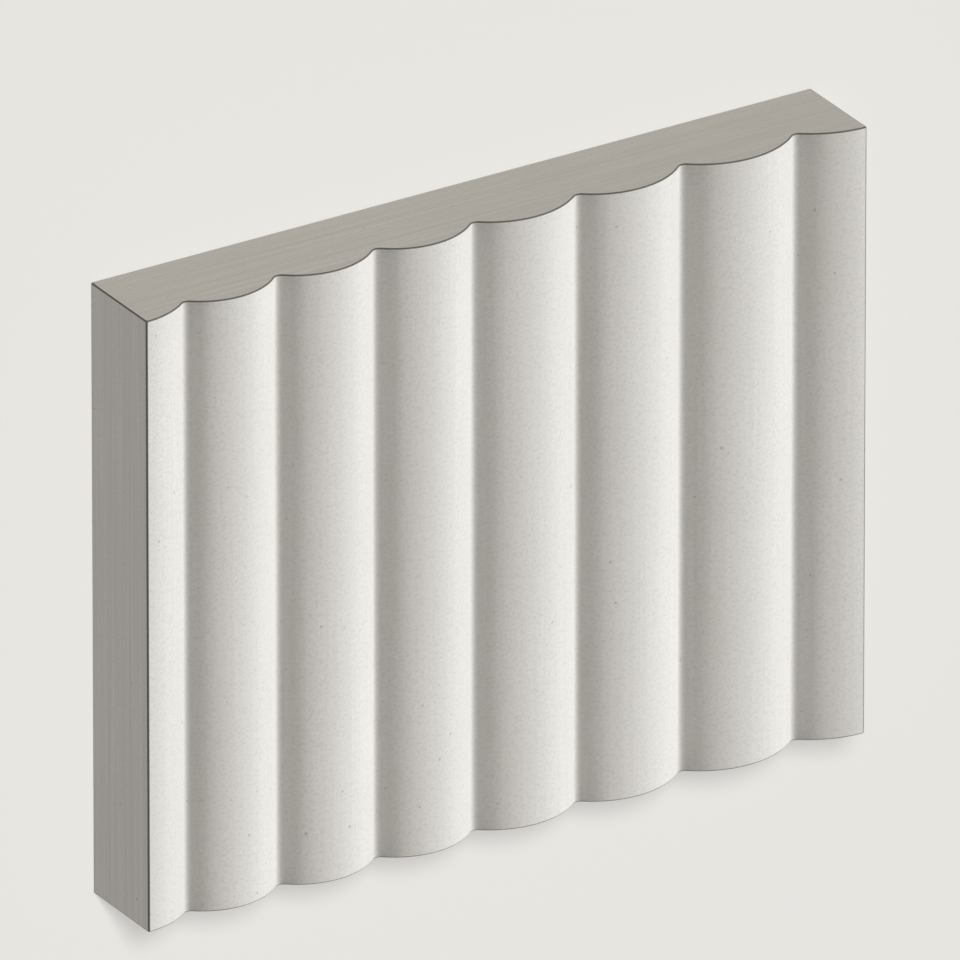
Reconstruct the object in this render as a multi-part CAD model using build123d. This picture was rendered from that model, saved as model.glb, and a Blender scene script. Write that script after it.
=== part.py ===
from build123d import *
import os
from itertools import accumulate
from math import hypot, sqrt

# Fluted stone panel: one sawn slab of pale stone with convex reeds milled side by side into its face.
# The reeds are circular arcs that all touch one front plane, and they grow wider from left to right.
# The panel is cut through the crests of its first and last reed, so that panels laid side by side
# meet in the middle of a reed, and every outer edge has a small eased arris.
#
# Frame: the panel lies on its sawn back with its reeds up. The origin is at the middle of the back,
# +X runs across the reeds, +Y along them and +Z out of the fluted face.

# Driving dimensions, in millimetres
SLAB_THICKNESS = 31.75  # from the back to the crests
PANEL_LENGTH = 203.2  # along the reeds
REED_PITCHES = (33.0, 34.0, 34.5, 35.5, 36.5, 39.5, 41.0)  # crest to crest, from left to right
REED_RADII = (26.0, 23.0, 24.0, 24.0, 27.0, 27.0, 29.0, 32.0)  # one for each crest
ROOT_RADIUS = 2.5  # the cutter's rounding at the bottom of each groove
ARRIS = 0.5  # the eased outer edges, measured along each face

PANEL_WIDTH = sum(REED_PITCHES)
HALF_WIDTH = PANEL_WIDTH / 2
CREST_X = [x - HALF_WIDTH for x in accumulate(REED_PITCHES, initial=0.0)]


def groove_root(reed):
    """The point where a reed's arc meets the arc of the next reed, before the root is rounded."""
    near, far = REED_RADII[reed], REED_RADII[reed + 1]
    across = REED_PITCHES[reed]
    down = near - far
    apart = hypot(across, down)
    along = (near**2 - far**2 + apart**2) / (2 * apart)
    aside = sqrt(near**2 - along**2)
    x = CREST_X[reed] + (along * across - aside * down) / apart
    z = SLAB_THICKNESS - near + (along * down + aside * across) / apart
    return x, z


def panel_section():
    """The panel's outline across the reeds: the flat back, two sawn sides and the row of arcs."""
    crests = [(x, SLAB_THICKNESS) for x in CREST_X]
    roots = [groove_root(reed) for reed in range(len(REED_PITCHES))]
    arcs = [
        ThreePointArc(left, crest, right)
        for left, crest, right in zip(roots[:-1], crests[1:-1], roots[1:])
    ]
    first_half = TangentArc(crests[0], roots[0], tangent=(1, 0))
    last_half = TangentArc(crests[-1], roots[-1], tangent=(-1, 0))
    back = Polyline(crests[0], (-HALF_WIDTH, 0), (HALF_WIDTH, 0), crests[-1])
    outline = make_face([back, first_half, *arcs, last_half])
    _, *between_the_sides, _ = outline.vertices().group_by(Axis.X)
    sharp_roots = [root for group in between_the_sides for root in group]
    return fillet(sharp_roots, ROOT_RADIUS)


def fluted_panel():
    """The section carried along the reeds, with the arrises of all six faces eased."""
    slab = extrude(Plane.XZ * panel_section(), PANEL_LENGTH / 2, both=True)
    end_faces = slab.faces().filter_by(Axis.Y)
    left_edges, *_, right_edges = slab.edges().filter_by(Axis.Y).group_by(Axis.X)
    return chamfer(end_faces.edges() + left_edges + right_edges, ARRIS)


os.makedirs("parts", exist_ok=True)
panel = fluted_panel()
panel.label = "fluted_panel"
export_step(panel, "parts/fluted_panel.step")

size = panel.bounding_box().size
depths = [SLAB_THICKNESS - groove_root(reed)[1] for reed in range(len(REED_PITCHES))]
print(f"panel {size.X:.2f} x {size.Y:.2f} x {size.Z:.2f} mm, volume {panel.volume / 1000:.1f} cm3")
print("arcs meet", ", ".join(f"{depth:.2f}" for depth in depths), "mm below the crests")
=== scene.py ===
# %% [markdown]
# A fluted stone panel is one sawn slab of pale limestone. A profiled wheel has milled straight convex reeds
# side by side into its face, each a little wider than the one before, and the sides are sawn through the
# crests of the first and the last. The panel lies on its back with the reeds up, as it would on a bench.
# Everything is in metres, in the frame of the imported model: X runs across the reeds, Y along them and Z out
# of the face.

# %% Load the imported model
import bpy
import numpy as np
from mathutils import Matrix, Vector


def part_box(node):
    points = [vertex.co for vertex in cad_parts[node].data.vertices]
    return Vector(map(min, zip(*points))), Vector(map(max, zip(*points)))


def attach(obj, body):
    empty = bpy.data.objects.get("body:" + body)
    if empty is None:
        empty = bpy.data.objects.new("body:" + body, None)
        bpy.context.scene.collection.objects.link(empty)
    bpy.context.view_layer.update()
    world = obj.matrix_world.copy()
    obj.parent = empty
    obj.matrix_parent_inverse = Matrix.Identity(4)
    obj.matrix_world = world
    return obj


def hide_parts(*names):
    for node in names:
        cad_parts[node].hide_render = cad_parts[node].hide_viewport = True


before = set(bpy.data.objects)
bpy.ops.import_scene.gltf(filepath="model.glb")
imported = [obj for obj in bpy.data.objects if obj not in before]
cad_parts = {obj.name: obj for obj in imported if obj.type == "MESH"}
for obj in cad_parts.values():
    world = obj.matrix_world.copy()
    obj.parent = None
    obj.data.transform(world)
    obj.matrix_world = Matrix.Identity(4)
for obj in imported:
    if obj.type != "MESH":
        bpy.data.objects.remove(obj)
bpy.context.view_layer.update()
low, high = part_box("fluted_panel")
print("packed panel, mm:", [round(1000 * side, 2) for side in high - low])

# %% [markdown]
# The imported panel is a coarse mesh: each reed has about ten flat strips, and they would show as stripes
# in a low light. The panel is one drawn section carried along a straight line, so it is made again here
# from the same few sizes, as fine as it needs to be. The section is nothing but arcs of circles: the
# reeds, the rounding that the wheel's tip leaves at the root of each groove, and two eased corners.

# %% Sizes of the section
MM = 0.001
REED_PITCHES = np.array((33.0, 34.0, 34.5, 35.5, 36.5, 39.5, 41.0)) * MM  # crest to crest
REED_RADII = np.array((26.0, 23.0, 24.0, 24.0, 27.0, 27.0, 29.0, 32.0)) * MM  # one for each crest
ROOT_RADIUS = 2.5 * MM  # the tip of the wheel
CORNER_RADIUS = 0.6 * MM  # the eased corners of the section
END_RADIUS = 0.5 * MM  # the eased rims of the two ends, smaller so that no corner shrinks to a point

crest_x = low.x + np.concatenate([[0.0], np.cumsum(REED_PITCHES)])
reed_centres = np.stack([crest_x, high.z - REED_RADII], axis=1)
print("crests at", (crest_x / MM).round(1), "mm; the last is at the right side:", round(high.x / MM, 1))


# %% [markdown]
# A wheel with a small round tip touches both reeds when it reaches the root. The centre of the tip is
# then one tip radius away from each reed, which makes it the crossing of two larger circles about the
# two reed centres. Directions are angles from straight up, turning towards +X, as on a clock face.

# %% Where the wheel's tip stands in each groove
def circle_crossings(centres, reach):
    """The upper crossing of each pair of neighbouring circles.

    With the gap between two centres as a line, the crossing lies (gap^2 + near^2 - far^2) / (2 gap) along
    it, and stands off it, square and on the open side, by what Pythagoras leaves of the near reach.
    """
    step = np.diff(centres, axis=0)
    gap = np.linalg.norm(step, axis=1, keepdims=True)
    near, far = reach[:-1, None], reach[1:, None]
    along = (gap**2 + near**2 - far**2) / (2 * gap)
    aside = np.sqrt(near**2 - along**2)
    forward = step / gap
    upward = np.stack([-forward[:, 1], forward[:, 0]], axis=1)
    return centres[:-1] + along * forward + aside * upward


def bearing(start, end):
    """The angle of the line from start to end, from straight up (+Z) towards +X."""
    step = end - start
    return np.arctan2(step[..., 0], step[..., 1])


tip_centres = circle_crossings(reed_centres, REED_RADII + ROOT_RADIUS)
groove_depths = high.z - (tip_centres[:, 1] - ROOT_RADIUS)
print("grooves", (groove_depths / MM).round(2), "mm deep")

# %% [markdown]
# An eased corner touches the sawn side and the first or last reed from inside. Its centre is one corner
# radius in from the side, so the reed's own centre sees it at a small lean, whose sine is the corner
# radius over the difference of the two radii. With that, every arc of the face knows where it starts and
# where it ends.

# %% Where each arc starts and ends
inner_reach = REED_RADII[[0, -1]] - CORNER_RADIUS
corner_lean = np.arcsin(CORNER_RADIUS / inner_reach) * (1, -1)
corner_spokes = np.stack([np.sin(corner_lean), np.cos(corner_lean)], axis=1)
corner_centres = reed_centres[[0, -1]] + inner_reach[:, None] * corner_spokes

reed_first = np.append(corner_lean[0], bearing(reed_centres[1:], tip_centres))
reed_last = np.append(bearing(reed_centres[:-1], tip_centres), corner_lean[1])
root_first = bearing(tip_centres, reed_centres[:-1]) % (2 * np.pi)
root_last = bearing(tip_centres, reed_centres[1:])
print("reeds end at slopes of", np.degrees(reed_last[:-1]).round(1), "degrees")


# %% [markdown]
# The face is the row of these arcs from left to right. Each arc carries its outward normals along with its
# points, so that the shading can later follow the true curve. A coarse step is enough on a reed, and the
# tight roots and corners get a finer one.

# %% The face of the section, from left to right
REED_STEPS, ROOT_STEPS, CORNER_STEPS = 30, 12, 5


def arc(centre, radius, first, last, steps, side):
    """Points centre + radius (sin angle, cos angle), with the angle going evenly from first up to last.

    The outward normal is the spoke itself on a reed (side 1) and the opposite one in a root (side -1).
    Each row is x, z, normal x, normal z, and the last point is left to the next arc.
    """
    angle = np.linspace(first, last, steps, endpoint=False)
    spoke = np.stack([np.sin(angle), np.cos(angle)], axis=1)
    return np.hstack([centre + radius * spoke, side * spoke])


reeds = [
    arc(centre, radius, first, last, REED_STEPS, 1)
    for centre, radius, first, last in zip(reed_centres, REED_RADII, reed_first, reed_last)
]
roots = [
    arc(centre, ROOT_RADIUS, first, last, ROOT_STEPS, -1)
    for centre, first, last in zip(tip_centres, root_first, root_last)
]
left_corner = arc(corner_centres[0], CORNER_RADIUS, -np.pi / 2, corner_lean[0], CORNER_STEPS, 1)
right_corner = arc(corner_centres[1], CORNER_RADIUS, corner_lean[1], np.pi / 2, CORNER_STEPS, 1)
right_side = [[high.x, corner_centres[1, 1], 1.0, 0.0]]

waves = [piece for pair in zip(reeds, roots) for piece in pair]
face = np.vstack([left_corner, *waves, reeds[-1], right_corner, right_side])
print(len(face), "points across the face")

# %% [markdown]
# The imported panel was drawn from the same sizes, so the points of its face have to lie on this line. They
# are read from its mesh and set against the line, apart from those on the eased edges, which are flat there
# and round here.

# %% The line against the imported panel
packed_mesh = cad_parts["fluted_panel"].data
packed_places = np.empty(3 * len(packed_mesh.vertices))
packed_mesh.vertices.foreach_get("co", packed_places)
packed_places = packed_places.reshape(-1, 3)
packed_x, packed_y, packed_z = packed_places.T

half_width, half_length = (high.x - low.x) / 2, (high.y - low.y) / 2
inside_the_sides = np.abs(packed_x) < half_width - 2 * CORNER_RADIUS
inside_the_ends = np.abs(packed_y) < half_length - END_RADIUS / 2
on_the_face = inside_the_sides & inside_the_ends & (packed_z > (low.z + high.z) / 2)
misses = np.abs(packed_z - np.interp(packed_x, face[:, 0], face[:, 1]))[on_the_face]
print(len(misses), "packed points lie within", round(misses.max() / MM, 3), "mm of the line")

# %% [markdown]
# The back is flat, with the same eased corners. It takes its points straight below those of the face, so
# that the two lines pair up and the ends of the panel can be closed with plain quads between them.

# %% The back of the section
into_corner = np.maximum(0, CORNER_RADIUS - (half_width - np.abs(face[:, 0]))) / CORNER_RADIUS
upright = np.sqrt(np.maximum(0, 1 - into_corner**2))
back = np.stack([
    face[:, 0],
    low.z + CORNER_RADIUS * (1 - upright),
    np.sign(face[:, 0]) * into_corner,
    -upright,
], axis=1)
print("back rises to", round(back[0, 1] / MM, 2), "mm at its corners")

# %% [markdown]
# Along the reeds the section stays the same, except within half a millimetre of the ends, where it shrinks
# to make the eased rim. One angle, the tilt, describes both: it is 0 degrees on the near end, where the
# normal points along -Y, 90 on the long faces and 180 on the far end.

# %% Stations along the reeds
RIM_STEPS, LENGTH_STEPS = 4, 48

rim = np.linspace(0, np.pi / 2, RIM_STEPS + 1)
middle_y = np.linspace(low.y + END_RADIUS, high.y - END_RADIUS, LENGTH_STEPS + 1)[1:-1]
rim_y = END_RADIUS * (1 - np.cos(rim))
station_y = np.concatenate([low.y + rim_y, middle_y, high.y - rim_y[::-1]])
tilt = np.concatenate([rim, np.full(len(middle_y), np.pi / 2), np.pi - rim[::-1]])
inset = END_RADIUS * (1 - np.sin(tilt))
print(len(station_y), "stations from", round(station_y[0] / MM, 1), "to", round(station_y[-1] / MM, 1), "mm")

# %% [markdown]
# The surface is the skin of a bent block of little cells, counted across, along and through the panel.
# Each of the six sides is a grid of point numbers, turned so that its faces look outwards, and sides that
# meet share their numbers, so there are no seams to close.

# %% The skin of the block
THROUGH_STEPS = 8

numbers = np.arange(len(face) * len(station_y) * (THROUGH_STEPS + 1))
block = numbers.reshape(len(face), len(station_y), THROUGH_STEPS + 1)
grids = {
    "reeds": block[:, :, -1],
    "back": block[:, :, 0].T,
    "right": block[-1],
    "left": block[0].T,
    "far_end": block[:, -1].T,
    "near_end": block[:, 0],
}


def quads(grid):
    """The four corner numbers of every cell of a grid, in turning order."""
    corners = [grid[:-1, :-1], grid[1:, :-1], grid[1:, 1:], grid[:-1, 1:]]
    return np.stack(corners, axis=-1).reshape(-1, 4)


side_quads = [quads(grid) for grid in grids.values()]
used, faces = np.unique(np.concatenate(side_quads), return_inverse=True)
faces = faces.reshape(-1, 4)
side_of_face = np.repeat(np.arange(len(grids)), [len(part) for part in side_quads])
across, along, through = np.unravel_index(used, block.shape)
print(len(used), "points and", 2 * len(faces), "triangles")


# %% [markdown]
# Now each number gets its place. A point starts on the face line or the back line, drawn in by the rim's
# inset, and a point between the two is mixed from both. The normals come from the same formula, so the
# shading is that of the true curve and not of the small flat cells.

# %% The places of the points
def skin_places(across, along, through):
    """Place = back + share (face - back), with both lines drawn in along their normals by the inset."""
    front_line = face[across, :2] - inset[along, None] * face[across, 2:]
    back_line = back[across, :2] - inset[along, None] * back[across, 2:]
    share = through[:, None] / THROUGH_STEPS
    section = back_line + share * (front_line - back_line)
    return np.stack([section[:, 0], station_y[along], section[:, 1]], axis=1)


def skin_normals(across, along, through):
    """Normal = section normal times sin(tilt), less the Y direction times cos(tilt)."""
    section = np.where(through[:, None] > 0, face[across, 2:], back[across, 2:])
    lean = np.sin(tilt)[along]
    return np.stack([section[:, 0] * lean, -np.cos(tilt)[along], section[:, 1] * lean], axis=1)


places = skin_places(across, along, through)
normals = skin_normals(across, along, through)
print("size, mm:", (np.ptp(places, axis=0) / MM).round(2))

# %% [markdown]
# The mesh becomes the panel that is seen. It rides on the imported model's one body and stands for the packed
# panel, which stays hidden behind it for the physics.

# %% The panel
mesh = bpy.data.meshes.new("reeded_slab")
mesh.from_pydata(places, [], faces)
mesh.normals_split_custom_set_from_vertices(normals)

panel = bpy.data.objects.new("reeded_slab", mesh)
bpy.context.scene.collection.objects.link(panel)
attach(panel, "root")
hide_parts("fluted_panel")
print("mesh needed no repair:", not mesh.validate())


# %% [markdown]
# A closed skin holds a volume. Every triangle makes a thin pyramid with the origin, which counts as more
# where the triangle looks away from the origin and as less where it looks towards it. If the sum is positive
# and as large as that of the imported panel, all faces look outwards and none is missing.

# %% The volume of the stone
def volume(places, triangles):
    """A sixth of the sum of first . (second x third) over all triangles."""
    first, second, third = np.moveaxis(places[triangles], 1, 0)
    return np.einsum("ij,ij->", first, np.cross(second, third)) / 6


packed_corners = np.empty(len(packed_mesh.loops), np.int32)
packed_mesh.loops.foreach_get("vertex_index", packed_corners)
halves = np.vstack([faces[:, [0, 1, 2]], faces[:, [0, 2, 3]]])
volumes = [volume(packed_places, packed_corners.reshape(-1, 3)), volume(places, halves)]
print("packed and seen volumes, cm3:", (np.array(volumes) / (10 * MM) ** 3).round(1))

# %% [markdown]
# Every face was cut by a turning wheel or blade that travelled in a straight line, and it keeps faint marks
# along that travel: along the reeds on the face, along each edge on the sides and ends. The UV map holds, in
# metres, how far each corner lies along the travel and across it, so one streaky pattern can follow all
# six sides.

# %% Tool marks follow the cut
TRAVEL = {  # the axes along the travel and across it, with X, Y and Z as 0, 1 and 2
    "reeds": (1, 0),
    "back": (0, 1),
    "right": (1, 2),
    "left": (1, 2),
    "far_end": (0, 2),
    "near_end": (0, 2),
}

travel_axes = np.array([TRAVEL[side] for side in grids])
corner_axes = np.broadcast_to(travel_axes[side_of_face][:, None, :], (*faces.shape, 2))
travel = np.take_along_axis(places[faces], corner_axes, axis=2)
marks_map = mesh.uv_layers.new(name="tool_travel")
marks_map.data.foreach_set("uv", travel.astype(np.float32).ravel())
print("tool marks mapped on", len(grids), "sides, up to", round(np.ptp(travel) / MM), "mm long")

# %% [markdown]
# A mason eases every outer edge with a few strokes of a rubbing stone, so that it doesn't chip. Along the
# narrow band that this leaves, the arris, a thin dark line is painted into the stone's colour, so that every
# edge shows as a dark line. One number for each point says how much of it is there: 0 on the flat faces and
# 1 over most of an arris. It is worked out from the same angles as the shape, where a bevel found by a shader
# would be lost when the model is exported.

# %% The eased arrises
ARRIS_COVER = 2.0  # how much faster the painted dark line grows than the edge turns, until it is complete

rim_turn = np.abs(np.sin(2 * tilt))
corner_turn = 2 * into_corner * upright
on_a_line = (through == 0) | (through == THROUGH_STEPS)
turned = np.maximum(rim_turn[along], corner_turn[across] * on_a_line)
eased = np.minimum(1, ARRIS_COVER * turned)
print(np.count_nonzero(eased > 0.5), "points lie well inside an arris")

# %% [markdown]
# The last few millimetres above each root are painted a shade darker into the stone's colour, so the grooves
# look darker than their light alone would make them: this is painted shade. The painted dark lines on the
# arrises and this painted shade go into one attribute of the mesh.

# %% Painted shade in the roots
ROOT_SHADE_SHARE = 0.095  # as a part of the darkness of the painted line on an arris
ROOT_SHADE_HEIGHT = 4.5 * MM  # above the root

groove = np.clip(np.searchsorted(crest_x, face[:, 0]) - 1, 0, len(groove_depths) - 1)
above_root = face[:, 1] - (high.z - groove_depths[groove])
root_closeness = np.clip(1 - above_root / ROOT_SHADE_HEIGHT, 0, 1)
root_shade = root_closeness[across] * np.sin(tilt)[along] * (through == THROUGH_STEPS)
# One attribute holds both the painted dark edge lines and the painted shade in the roots.
edge_line_and_shade_layer = mesh.attributes.new("edge_line_and_root_shade", "FLOAT", "POINT")
edge_line_and_shade_layer.data.foreach_set("value", np.maximum(eased, ROOT_SHADE_SHARE * root_shade).astype(np.float32))
print(np.count_nonzero(root_shade > 0.5), "points lie close above a root")

# %% [markdown]
# Materials are made of nodes. One small function adds a node: its own settings, and for each input either
# a plain value or the output of an earlier node. Colours are written as on the screen and turned into the
# linear light that Blender works in.

# %% Helpers for materials
SHARE, FIRST, SECOND, MIXED = 0, 6, 7, 2  # places of a colour Mix node's three inputs and its output


def linear(hex_colour):
    """sRGB hex to linear light: c / 12.92 below 0.04045, else ((c + 0.055) / 1.055) to the power 2.4."""
    screen = np.array([int(hex_colour[place : place + 2], 16) for place in (1, 3, 5)]) / 255
    light = np.where(screen <= 0.04045, screen / 12.92, ((screen + 0.055) / 1.055) ** 2.4)
    return (*light.tolist(), 1.0)


def add_node(tree, kind, inputs=None, **settings):
    """Adds one node. An input is a value, or the output socket that feeds it."""
    node = tree.nodes.new(kind)
    for name, value in settings.items():
        setattr(node, name, value)
    for name, value in (inputs or {}).items():
        if isinstance(value, bpy.types.NodeSocket):
            tree.links.new(value, node.inputs[name])
        else:
            node.inputs[name].default_value = value
    return node


def new_material(name):
    """An empty node material."""
    material = bpy.data.materials.new(name)
    material.use_nodes = True
    material.node_tree.nodes.clear()
    return material


print("linear value of mid grey #808080:", round(linear("#808080")[0], 3))

# %% [markdown]
# Limestone is a pale, nearly even stone. Up close it shows soft clouds a few centimetres wide, where the
# lime mud settled a little denser, and a fine grain of broken shell. Both run through the whole block, so
# they are read from the point's own place in space, and they carry on round every edge without a seam. The
# grain is really about 0.3 mm wide, which is one pixel here, so it is drawn three times as coarse to show.

# %% Clouds and grain
CLOUD_SIZE = 40 * MM
CLOUD_DETAIL = 4.0  # how many layers of finer noise lie over the coarse one
CLOUD_LIMITS = (0.35, 0.65)  # noise levels where the denser patches start and are complete
GRAIN_SIZE = 0.9 * MM
GRAIN_DETAIL = 2.0
GRAIN_LIMITS = (0.45, 0.75)


def noise_share(tree, place, scale, detail, limits):
    """Share = (noise - lower limit) / (upper limit - lower limit), kept from 0 to 1."""
    pattern = {"Vector": place, "Scale": scale, "Detail": detail}
    level = add_node(tree, "ShaderNodeTexNoise", pattern).outputs["Fac"]
    between = {"Value": level, "From Min": limits[0], "From Max": limits[1]}
    return add_node(tree, "ShaderNodeMapRange", between).outputs["Result"]


def clouds(tree, place):
    """Soft noise with small detail: 0 in the plain stone, 1 in the denser patches."""
    return noise_share(tree, place, 1 / CLOUD_SIZE, CLOUD_DETAIL, CLOUD_LIMITS)


def grain(tree, place):
    """Fine noise: 0 in the lime mud, 1 on a bit of shell."""
    return noise_share(tree, place, 1 / GRAIN_SIZE, GRAIN_DETAIL, GRAIN_LIMITS)


print("clouds", CLOUD_SIZE / MM, "mm and grain", GRAIN_SIZE / MM, "mm wide")

# %% [markdown]
# Here and there a bit of shell has dissolved and left a pore, a shallow dark speck. Pores could be dots
# strewn over the surface, but a Voronoi pattern does it in one node: it divides space into cells, and each
# pore sits in the middle of its cell. Its size comes from the cell's random colour, so no two look alike.

# %% Pores
PORE_SPACING = 7 * MM
PORE_REACH = (0.01, 0.11)  # radius of the smallest and the largest pore, as a part of the spacing
PORE_SLOPE = 0.04  # how far inside its edge a pore is at its full depth, as a part of the spacing


def pores(tree, place):
    """Share = (the pore's reach - the distance from the middle of the cell) / slope, kept from 0 to 1."""
    cells = add_node(tree, "ShaderNodeTexVoronoi", {"Vector": place, "Scale": 1 / PORE_SPACING}).outputs
    sizes = {"Value": cells["Color"], "To Min": PORE_REACH[0], "To Max": PORE_REACH[1]}
    reach = add_node(tree, "ShaderNodeMapRange", sizes).outputs["Result"]
    room = {0: reach, 1: cells["Distance"]}
    depth = add_node(tree, "ShaderNodeMath", room, operation="SUBTRACT").outputs["Value"]
    slope = {"Value": depth, "From Max": PORE_SLOPE}
    return add_node(tree, "ShaderNodeMapRange", slope).outputs["Result"]


print("pores up to", round(2 * PORE_REACH[1] * PORE_SPACING / MM, 2), "mm wide")

# %% [markdown]
# The marks of the wheel and the saw are noise too, drawn out along the travel that the UV map holds: long
# streaks, close together. They are the same on every face, and each finish says how deep they are.

# %% Tool marks
MARK_LENGTH = 120 * MM
MARK_SPACING = 1.4 * MM
MARK_DETAIL = 2.0
MARK_LIMITS = (0.3, 0.7)


def tool_marks(tree):
    """The share of the noise at (travel along / length, travel across / spacing)."""
    travel = add_node(tree, "ShaderNodeUVMap", uv_map="tool_travel").outputs["UV"]
    stretch = {"Vector": travel, "Scale": (1 / MARK_LENGTH, 1 / MARK_SPACING, 1.0)}
    drawn_out = add_node(tree, "ShaderNodeMapping", stretch).outputs["Vector"]
    return noise_share(tree, drawn_out, 1.0, MARK_DETAIL, MARK_LIMITS)


print("tool marks", MARK_SPACING / MM, "mm apart and", MARK_LENGTH / MM, "mm long")

# %% [markdown]
# The stone's colour is built up in layers, as a painter would glaze it: each layer mixes its own tone over
# what is there, by its share. Its relief is the sum of the same patterns, each times its depth. The bits of
# shell take a better polish than the mud round them, so the roughness follows the grain.

# %% Limestone
LIMESTONE_IOR = 1.55  # a little below that of pure calcite
DENSE_TONE = "#F1F0ED"
SHELL_TONE = "#DFDED8"
PORE_TONE = "#D0CDC5"
# The tone of the painted dark edge lines and of the painted shade in the roots.
EDGE_LINE_AND_SHADE_TONE = "#5E5A53"
SHELL_RELIEF, PORE_RELIEF = 0.004, -0.06  # millimetres above and below the face
ROUGHNESS_RANGE = 0.06  # how far mud and shell lie to either side of a finish's roughness


def limestone(name, tone, mark_tone, mark_relief, roughness):
    """Colour = tone with each layer over it. Height in millimetres = the sum of pattern times relief."""
    material = new_material(name)
    tree = material.node_tree
    place = add_node(tree, "ShaderNodeTexCoord").outputs["Object"]
    edge_line_and_root_shade = add_node(tree, "ShaderNodeAttribute", attribute_name="edge_line_and_root_shade").outputs["Fac"]
    shell, pore, marks = grain(tree, place), pores(tree, place), tool_marks(tree)

    colour = linear(tone)
    layers = (
        (clouds(tree, place), DENSE_TONE),
        (marks, mark_tone),
        (shell, SHELL_TONE),
        (pore, PORE_TONE),
        # the painted dark edge lines and the painted shade in the roots
        (edge_line_and_root_shade, EDGE_LINE_AND_SHADE_TONE),
    )
    for share, over in layers:
        glaze = {SHARE: share, FIRST: colour, SECOND: linear(over)}
        colour = add_node(tree, "ShaderNodeMix", glaze, data_type="RGBA").outputs[MIXED]

    height = 0.0
    for pattern, relief in ((marks, mark_relief), (shell, SHELL_RELIEF), (pore, PORE_RELIEF)):
        raised = {0: pattern, 1: relief, 2: height}
        height = add_node(tree, "ShaderNodeMath", raised, operation="MULTIPLY_ADD").outputs["Value"]
    bump = add_node(tree, "ShaderNodeBump", {"Height": height, "Distance": MM}).outputs["Normal"]

    polish = {"Value": shell, "To Min": roughness + ROUGHNESS_RANGE, "To Max": roughness - ROUGHNESS_RANGE}
    rough = add_node(tree, "ShaderNodeMapRange", polish).outputs["Result"]
    surface = {"Base Color": colour, "Roughness": rough, "IOR": LIMESTONE_IOR, "Normal": bump}
    shader = add_node(tree, "ShaderNodeBsdfPrincipled", surface)
    add_node(tree, "ShaderNodeOutputMaterial", {"Surface": shader.outputs["BSDF"]})
    return material


print("tones of the layers:", DENSE_TONE, SHELL_TONE, PORE_TONE, EDGE_LINE_AND_SHADE_TONE)

# %% [markdown]
# The panel has two finishes of the one stone. The milled reeds are honed with fine grit: smooth to the eye,
# matt, with a soft sheen only in a low light. The back, sides and ends are left as the saw cut them: a touch
# rougher and more powdery, with faint straight streaks.

# %% The two finishes
HONED, SAWN = 0, 1

honed = limestone("honed_limestone", "#ECEBE7", mark_tone="#EAE9E4", mark_relief=0.012, roughness=0.6)
sawn = limestone("sawn_limestone", "#EBEAE5", mark_tone="#E0DED8", mark_relief=0.06, roughness=0.8)
mesh.materials.append(honed)
mesh.materials.append(sawn)
finish_of_side = np.array([HONED if side == "reeds" else SAWN for side in grids], np.int32)
mesh.polygons.foreach_set("material_index", finish_of_side[side_of_face])
print("finishes:", [material.name for material in mesh.materials])

# %% [markdown]
# The panel lies on a sheet of matt paper. Paper as pale as the background would throw much of the light
# back up at the stone and hide its shadows. So the paper itself is grey, and a glow that only the eye sees
# makes up for the rest. Light that bounces about doesn't meet the glow, and the panel's shadow still darkens
# the paper.

# %% The floor
FLOOR_PAPER = "#767573"
FLOOR_GLOW = "#C2C0BC"
FLOOR_HALF = 6.0  # metres from its middle to its sides, so that no edge of it is near


def seen_directly(tree):
    """1 for a ray that shows in the picture, straight or mirrored, and 0 for light that bounces about."""
    ray = add_node(tree, "ShaderNodeLightPath").outputs
    mirrored = {0: ray["Is Glossy Ray"], 1: ray["Is Transmission Ray"]}
    either = add_node(tree, "ShaderNodeMath", mirrored, operation="MAXIMUM").outputs["Value"]
    straight = {0: ray["Is Camera Ray"], 1: either}
    return add_node(tree, "ShaderNodeMath", straight, operation="MAXIMUM").outputs["Value"]


paper = new_material("matt_paper")
paper_surface = {
    "Base Color": linear(FLOOR_PAPER),
    "Roughness": 1.0,
    "Specular IOR Level": 0.0,
    "Emission Color": linear(FLOOR_GLOW),
    "Emission Strength": seen_directly(paper.node_tree),
}
paper_shader = add_node(paper.node_tree, "ShaderNodeBsdfPrincipled", paper_surface)
add_node(paper.node_tree, "ShaderNodeOutputMaterial", {"Surface": paper_shader.outputs["BSDF"]})

floor_x, floor_y = np.array(((-1, 1, 1, -1), (-1, -1, 1, 1))) * FLOOR_HALF
floor_mesh = bpy.data.meshes.new("floor")
floor_mesh.from_pydata(np.stack([floor_x, floor_y, np.full(4, low.z)], axis=1), [], [(0, 1, 2, 3)])
floor_mesh.materials.append(paper)
floor = bpy.data.objects.new("floor", floor_mesh)
bpy.context.scene.collection.objects.link(floor)
print("floor", 2 * FLOOR_HALF, "m wide, at the height of the back:", round(low.z / MM, 2), "mm")

# %% [markdown]
# A studio's walls give some light from all sides, which keeps the shaded flanks of the reeds from going
# black. That is the world here. Where the eye looks past the floor, it sees the background's own colour, so
# that no horizon shows.

# %% The world
ROOM_LIGHT = "#595959"
BACKGROUND = "#E7E5E1"

world = bpy.data.worlds.new("studio")
world.use_nodes = True
world.node_tree.nodes.clear()
room = {SHARE: seen_directly(world.node_tree), FIRST: linear(ROOM_LIGHT), SECOND: linear(BACKGROUND)}
room_colour = add_node(world.node_tree, "ShaderNodeMix", room, data_type="RGBA").outputs[MIXED]
room_shader = add_node(world.node_tree, "ShaderNodeBackground", {"Color": room_colour})
add_node(world.node_tree, "ShaderNodeOutputWorld", {"Surface": room_shader.outputs["Background"]})
bpy.context.scene.world = world
print("room light:", np.round(linear(ROOM_LIGHT)[:3], 3))


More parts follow.
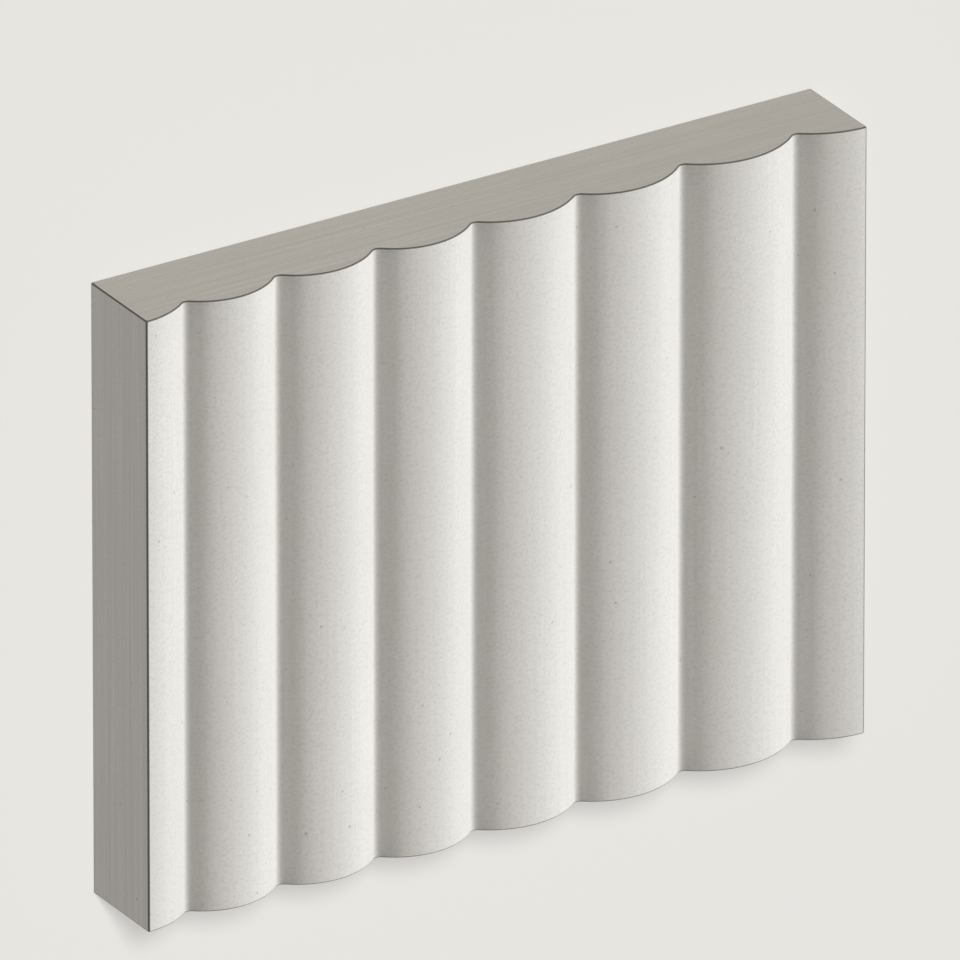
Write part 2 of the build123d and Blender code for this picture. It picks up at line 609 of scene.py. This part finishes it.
# %% [markdown]
# Reeds live by low light from one side: every one of them then goes from bright to dark in the same way.
# The key lamp stands low on the right, a weaker one stands higher above it and lifts the crests, and soft
# lamps on the other three sides fill in what these two leave. The key is a trace cooler than the rest, as
# light from a window is. All of them are far away, as Blender's sun is, and their spread makes the light
# soft. Lamps that low would draw long shadows across the floor, so each lamp lights one thing only: these
# five light the stone, and a sixth, high one draws the short soft shadow on the floor.

# %% The lamps
def add_lamp(name, lit, azimuth, height, share, spread, tint="#FFFFFF"):
    """A far lamp towards (cos height sin azimuth, cos height cos azimuth, sin height), in degrees.

    With a share of 1, a white sheet that squarely faces the lamp looks white.
    """
    lamp = bpy.data.lights.new(name, "SUN")
    lamp.energy = np.pi * share
    lamp.angle = np.radians(spread)
    lamp.color = linear(tint)[:3]
    turn, rise = np.radians([azimuth, height])
    towards = Vector((np.cos(rise) * np.sin(turn), np.cos(rise) * np.cos(turn), np.sin(rise)))
    holder = bpy.data.objects.new(name, lamp)
    holder.rotation_euler = towards.to_track_quat("Z", "Y").to_euler()
    lit_things = bpy.data.collections.new("lit_by_" + name)
    lit_things.objects.link(lit)
    holder.light_linking.receiver_collection = lit_things
    bpy.context.scene.collection.objects.link(holder)
    print("lamp", name, "at", azimuth, "degrees round and", height, "up")


add_lamp("key_from_the_right", panel, azimuth=90, height=31, share=0.65, spread=15, tint="#FBFDFF")
add_lamp("soft_from_above", panel, azimuth=90, height=60, share=0.235, spread=20, tint="#FFF8F4")
add_lamp("fill_from_the_left", panel, azimuth=-90, height=7, share=0.15, spread=10, tint="#FFF4F2")
add_lamp("soft_from_the_far_end", panel, azimuth=0, height=10, share=0.353, spread=40, tint="#FFF8EE")
add_lamp("soft_from_the_near_end", panel, azimuth=180, height=10, share=0.25, spread=40)
add_lamp("soft_on_the_floor", floor, azimuth=-34, height=51, share=1.7, spread=13)

# %% [markdown]
# The panel is seen from the left and from its far end, with the reeds running up the picture and its edges
# parallel. A very long lens from far away keeps them parallel to the eye. A lens without any perspective
# would do so exactly, but it would crop the other views, which move the same camera closer or further away.

# %% The camera
TURN = np.radians(32.0)  # how far the eye goes round to the left, away from straight above the face
RISE = np.radians(26.0)  # how far it then goes towards the far end
LENS, SENSOR = 1600.0, 36.0  # millimetres
DISTANCE = 12.8
SHIFT_RIGHT, SHIFT_UP = -0.1 * MM, 8.85 * MM  # from the panel's middle to the picture's

right = Vector((np.cos(TURN), 0, np.sin(TURN)))
towards_the_eye = Vector((-np.sin(TURN) * np.cos(RISE), np.sin(RISE), np.cos(TURN) * np.cos(RISE)))
up = towards_the_eye.cross(right)
picture_middle = (low + high) / 2 + SHIFT_RIGHT * right + SHIFT_UP * up

lens = bpy.data.cameras.new("long_lens")
lens.lens, lens.sensor_width = LENS, SENSOR
lens.clip_start, lens.clip_end = DISTANCE / 10, 10 * DISTANCE
camera = bpy.data.objects.new("long_lens", lens)
rotation = Matrix((right, up, towards_the_eye)).transposed().to_4x4()
camera.matrix_world = Matrix.Translation(picture_middle + DISTANCE * towards_the_eye) @ rotation
bpy.context.scene.collection.objects.link(camera)
bpy.context.scene.camera = camera
bpy.context.scene.view_settings.view_transform = "Standard"
print("the picture is", round(DISTANCE * SENSOR / LENS / MM, 1), "mm wide at the panel")
